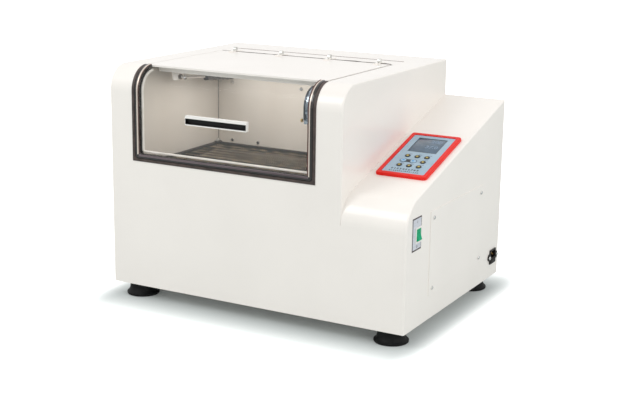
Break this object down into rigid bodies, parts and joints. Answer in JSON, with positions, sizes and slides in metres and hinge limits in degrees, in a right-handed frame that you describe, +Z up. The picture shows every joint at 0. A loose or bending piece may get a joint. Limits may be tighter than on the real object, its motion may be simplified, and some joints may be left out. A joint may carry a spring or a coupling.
{
  "type": "incubated benchtop shaker",
  "caption": "Incubated benchtop shaker with a bent clear lid on rear hinges, an orbiting spring tray in a heated chamber and a sloping side control pod.",
  "frame": {"origin": "on the floor plane under the middle of the casing", "axes": "+Z up, +X to the right seen from the front, the front panel faces -Y"},
  "size_m": [0.655, 0.4732, 0.4819],
  "materials": {
    "casing_paint": "gloss",
    "bright_steel": "polished",
    "foot_rubber": "matte",
    "liner_paint": "satin",
    "insulation_wool": "matte",
    "gasket_rubber": "matte",
    "clear_acrylic": "polished",
    "polished_trim": "gloss",
    "white_plastic": "gloss",
    "hinge_zinc": "satin",
    "strut_black": "satin",
    "frame_steel": "satin",
    "aluminium": "satin",
    "tray_black": "satin",
    "bezel_red": "gloss",
    "membrane_blue": "satin",
    "board_green": "satin",
    "key_yellow": "gloss",
    "key_blue": "gloss",
    "black_plastic": "satin",
    "rocker_green": "gloss"
  },
  "bodies": {
    "cabinet": {"outer_wrapper": "casing_paint", "left_side_panel": "casing_paint", "cabinet_right_wall": "casing_paint", "pod_wrapper": "casing_paint", "pod_side_panel": "casing_paint", "rear_panel": "casing_paint", "base_pan": "casing_paint", "service_panel": "casing_paint", "panel_screws": "bright_steel", "rubber_feet": "foot_rubber", "chamber_liner": "liner_paint", "chamber_floor": "liner_paint", "insulation": "insulation_wool", "opening_gasket": "gasket_rubber", "hinge_strip": "casing_paint", "hinge_body_leaves": "hinge_zinc", "hinge_pins": "bright_steel", "drive_frame": "frame_steel", "shaft_bearings": "bright_steel", "drive_motor": "frame_steel", "drive_belt": "foot_rubber", "heater": "bright_steel", "fan_motor": "aluminium", "temperature_probe": "bright_steel", "lid_switch": "tray_black", "panel_bezel": "bezel_red", "panel_face": "membrane_blue", "display_board": "board_green", "switch_body": "white_plastic", "power_inlet": "black_plastic"},
    "lid": {"lid_top": "casing_paint", "lid_window": "clear_acrylic", "lid_trim": "polished_trim", "lid_handle": "white_plastic", "hinge_lid_leaves": "hinge_zinc", "lid_strut_tabs": "hinge_zinc"},
    "cylinder_left": {"strut_cylinder_left": "strut_black"},
    "cylinder_right": {"strut_cylinder_right": "strut_black"},
    "rod_left": {"strut_rod_left": "bright_steel"},
    "rod_right": {"strut_rod_right": "bright_steel"},
    "crank": {"drive_crank": "bright_steel"},
    "idler_left": {"idler_crank_left": "bright_steel"},
    "idler_right": {"idler_crank_right": "bright_steel"},
    "pulley": {"motor_pulley": "aluminium"},
    "platform": {"carriage": "aluminium", "tray_frame": "tray_black", "tray_posts": "aluminium", "tray_springs": "bright_steel"},
    "fan": {"fan_wheel": "aluminium"},
    "rocker": {"switch_rocker": "rocker_green"},
    "drawer": {"fuse_drawer": "black_plastic"},
    "key_bottom_left": {"key_bottom_left": "key_yellow"},
    "key_bottom_middle": {"key_bottom_middle": "key_yellow"},
    "key_bottom_right": {"key_bottom_right": "key_yellow"},
    "key_arrow_left": {"key_arrow_left": "key_blue"},
    "key_arrow_right": {"key_arrow_right": "key_blue"},
    "key_middle_right": {"key_middle_right": "key_yellow"},
    "key_top_left": {"key_top_left": "key_yellow"},
    "key_top_middle": {"key_top_middle": "key_yellow"},
    "key_top_right": {"key_top_right": "key_yellow"}
  },
  "joints": [
    {"name": "lid_hinge", "type": "hinge", "parent": "cabinet", "child": "lid", "pos_m": [0, 0.086, 0.4769], "axis": [-1, 0, 0], "range_deg": [0, 75]},
    {"name": "strut_turn_left", "type": "hinge", "parent": "cabinet", "child": "cylinder_left", "pos_m": [-0.23, 0.063, 0.4215], "axis": [-1, 0, 0], "range_deg": [0, 69.34]},
    {"name": "strut_slide_left", "type": "slide", "parent": "cylinder_left", "child": "rod_left", "axis": [0, -0.9942, 0.1079], "range_m": [0, 0.06983]},
    {"name": "strut_turn_right", "type": "hinge", "parent": "cabinet", "child": "cylinder_right", "pos_m": [0.0972, 0.063, 0.4215], "axis": [-1, 0, 0], "range_deg": [0, 69.34]},
    {"name": "strut_slide_right", "type": "slide", "parent": "cylinder_right", "child": "rod_right", "axis": [0, -0.9942, 0.1079], "range_m": [0, 0.06983]},
    {"name": "crank_spin", "type": "hinge", "parent": "cabinet", "child": "crank", "pos_m": [-0.0664, -0.0774, 0.1395], "axis": [0, 0, 1], "continuous": true},
    {"name": "platform_pivot", "type": "hinge", "parent": "crank", "child": "platform", "pos_m": [-0.0664, -0.0874, 0.2535], "axis": [0, 0, 1], "continuous": true},
    {"name": "idler_spin_left", "type": "hinge", "parent": "cabinet", "child": "idler_left", "pos_m": [-0.19638, -0.0054, 0.1895], "axis": [0, 0, 1], "continuous": true},
    {"name": "idler_spin_right", "type": "hinge", "parent": "cabinet", "child": "idler_right", "pos_m": [0.06358, -0.0054, 0.1895], "axis": [0, 0, 1], "continuous": true},
    {"name": "motor_spin", "type": "hinge", "parent": "cabinet", "child": "pulley", "pos_m": [-0.0664, 0.1521, 0.1395], "axis": [0, 0, 1], "continuous": true},
    {"name": "fan_spin", "type": "hinge", "parent": "cabinet", "child": "fan", "pos_m": [0.1452, -0.028, 0.3475], "axis": [1, 0, 0], "continuous": true},
    {"name": "key_press_bottom_left", "type": "slide", "parent": "cabinet", "child": "key_bottom_left", "axis": [0, 0.2783, -0.9605], "range_m": [0, 0.0008], "stiffness_N_per_m": 500, "springref_m": -0.0006},
    {"name": "key_press_bottom_middle", "type": "slide", "parent": "cabinet", "child": "key_bottom_middle", "axis": [0, 0.2783, -0.9605], "range_m": [0, 0.0008], "stiffness_N_per_m": 500, "springref_m": -0.0006},
    {"name": "key_press_bottom_right", "type": "slide", "parent": "cabinet", "child": "key_bottom_right", "axis": [0, 0.2783, -0.9605], "range_m": [0, 0.0008], "stiffness_N_per_m": 500, "springref_m": -0.0006},
    {"name": "key_press_arrow_left", "type": "slide", "parent": "cabinet", "child": "key_arrow_left", "axis": [0, 0.2783, -0.9605], "range_m": [0, 0.0008], "stiffness_N_per_m": 500, "springref_m": -0.0006},
    {"name": "key_press_arrow_right", "type": "slide", "parent": "cabinet", "child": "key_arrow_right", "axis": [0, 0.2783, -0.9605], "range_m": [0, 0.0008], "stiffness_N_per_m": 500, "springref_m": -0.0006},
    {"name": "key_press_middle_right", "type": "slide", "parent": "cabinet", "child": "key_middle_right", "axis": [0, 0.2783, -0.9605], "range_m": [0, 0.0008], "stiffness_N_per_m": 500, "springref_m": -0.0006},
    {"name": "key_press_top_left", "type": "slide", "parent": "cabinet", "child": "key_top_left", "axis": [0, 0.2783, -0.9605], "range_m": [0, 0.0008], "stiffness_N_per_m": 500, "springref_m": -0.0006},
    {"name": "key_press_top_middle", "type": "slide", "parent": "cabinet", "child": "key_top_middle", "axis": [0, 0.2783, -0.9605], "range_m": [0, 0.0008], "stiffness_N_per_m": 500, "springref_m": -0.0006},
    {"name": "key_press_top_right", "type": "slide", "parent": "cabinet", "child": "key_top_right", "axis": [0, 0.2783, -0.9605], "range_m": [0, 0.0008], "stiffness_N_per_m": 500, "springref_m": -0.0006},
    {"name": "rocker_tip", "type": "hinge", "parent": "cabinet", "child": "rocker", "pos_m": [0.322, -0.1845, 0.208], "axis": [0, 1, 0], "range_deg": [0, 16]},
    {"name": "drawer_slide", "type": "slide", "parent": "cabinet", "child": "drawer", "axis": [1, 0, 0], "range_m": [0, 0.018]}
  ],
  "couplings": [
    {"joint": "strut_turn_left", "follows": "lid_hinge", "ratio": 0.91786},
    {"joint": "strut_slide_left", "follows": "lid_hinge", "m_per_rad": 0.053118},
    {"joint": "strut_turn_right", "follows": "lid_hinge", "ratio": 0.91786},
    {"joint": "strut_slide_right", "follows": "lid_hinge", "m_per_rad": 0.053118},
    {"joint": "platform_pivot", "follows": "crank_spin", "ratio": -1},
    {"joint": "idler_spin_left", "follows": "crank_spin", "ratio": 1},
    {"joint": "idler_spin_right", "follows": "crank_spin", "ratio": 1},
    {"joint": "motor_spin", "follows": "crank_spin", "ratio": 3}
  ]
}
